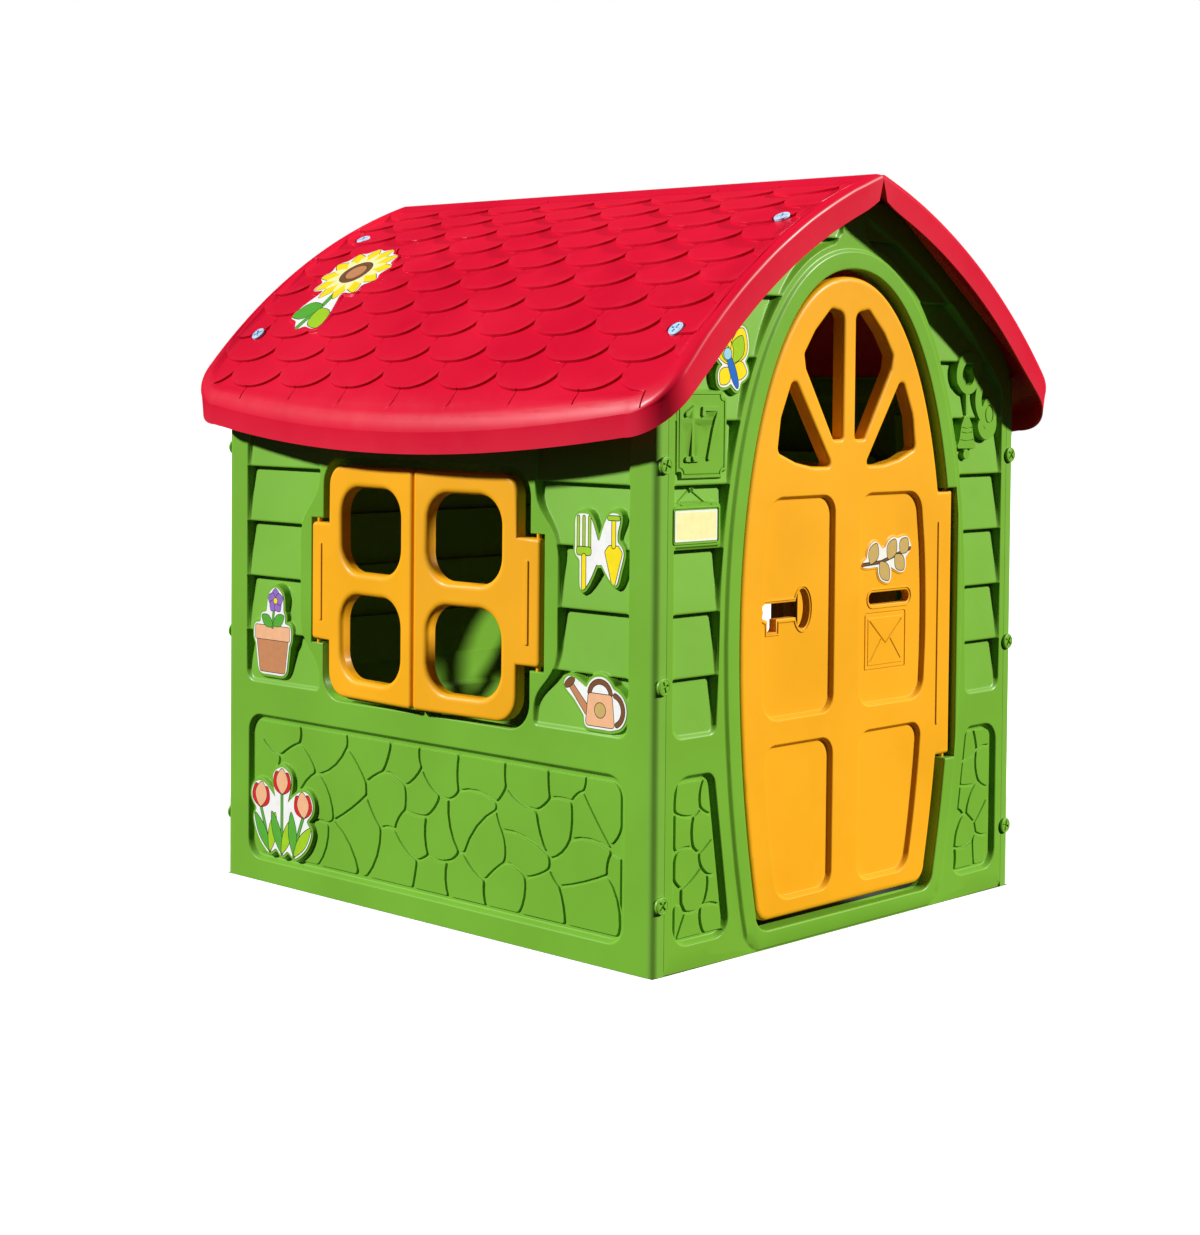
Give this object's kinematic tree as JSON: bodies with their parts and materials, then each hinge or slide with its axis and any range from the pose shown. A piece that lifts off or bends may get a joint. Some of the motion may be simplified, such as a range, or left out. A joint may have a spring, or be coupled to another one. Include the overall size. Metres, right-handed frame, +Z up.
{
  "type": "playhouse",
  "caption": "Moulded plastic garden playhouse with lapped-plank walls, a curved shingle roof, an arched hinged door and windows with hinged shutters",
  "frame": {"origin": "centre of the footprint, on the ground", "axes": "+Z up, -Y faces out of the door wall, X across the door wall with the ridge above X = 0"},
  "size_m": [1.066, 1.134, 1.2036],
  "materials": {
    "light_green_plastic": "satin",
    "green_plastic": "satin",
    "red_plastic": "gloss",
    "yellow_plastic": "satin",
    "screw_green_plastic": "satin",
    "pale_blue_plastic": "satin",
    "printed_film": "gloss"
  },
  "bodies": {
    "house": {"front_wall": "light_green_plastic", "back_wall": "light_green_plastic", "left_wall": "green_plastic", "right_wall": "green_plastic", "roof_left": "red_plastic", "roof_right": "red_plastic", "corner_screw_front_left_1": "screw_green_plastic", "corner_screw_front_left_2": "screw_green_plastic", "corner_screw_front_left_3": "screw_green_plastic", "corner_screw_front_right_1": "screw_green_plastic", "corner_screw_front_right_2": "screw_green_plastic", "corner_screw_front_right_3": "screw_green_plastic", "corner_screw_back_left_1": "screw_green_plastic", "corner_screw_back_left_2": "screw_green_plastic", "corner_screw_back_left_3": "screw_green_plastic", "corner_screw_back_right_1": "screw_green_plastic", "corner_screw_back_right_2": "screw_green_plastic", "corner_screw_back_right_3": "screw_green_plastic", "roof_screw_left_1": "pale_blue_plastic", "roof_screw_left_2": "pale_blue_plastic", "roof_screw_left_3": "pale_blue_plastic", "roof_screw_left_4": "pale_blue_plastic", "roof_screw_right_1": "pale_blue_plastic", "roof_screw_right_2": "pale_blue_plastic", "roof_screw_right_3": "pale_blue_plastic", "roof_screw_right_4": "pale_blue_plastic", "sticker_flowerpot": "printed_film", "sticker_tulips": "printed_film", "sticker_watering_can": "printed_film", "sticker_tools": "printed_film", "sticker_butterfly": "printed_film", "sticker_label": "printed_film", "sticker_sunflower": "printed_film"},
    "door": {"door": "yellow_plastic", "sticker_leaf": "printed_film"},
    "left_shutter_a": {"left_shutter_a": "yellow_plastic"},
    "left_shutter_b": {"left_shutter_b": "yellow_plastic"},
    "right_shutter_a": {"right_shutter_a": "yellow_plastic"},
    "right_shutter_b": {"right_shutter_b": "yellow_plastic"}
  },
  "joints": [
    {"name": "door_hinge", "type": "hinge", "parent": "house", "child": "door", "pos_m": [0.274, -0.4965, 0.47], "axis": [0, 0, 1], "range_deg": [0, 95]},
    {"name": "left_shutter_a_hinge", "type": "hinge", "parent": "house", "child": "left_shutter_a", "pos_m": [-0.455, 0.2637, 0.534], "axis": [0, 0, -1], "range_deg": [0, 110]},
    {"name": "left_shutter_b_hinge", "type": "hinge", "parent": "house", "child": "left_shutter_b", "pos_m": [-0.455, -0.2637, 0.534], "axis": [0, 0, 1], "range_deg": [0, 110]},
    {"name": "right_shutter_a_hinge", "type": "hinge", "parent": "house", "child": "right_shutter_a", "pos_m": [0.455, -0.2637, 0.534], "axis": [0, 0, -1], "range_deg": [0, 110]},
    {"name": "right_shutter_b_hinge", "type": "hinge", "parent": "house", "child": "right_shutter_b", "pos_m": [0.455, 0.2637, 0.534], "axis": [0, 0, 1], "range_deg": [0, 110]}
  ]
}
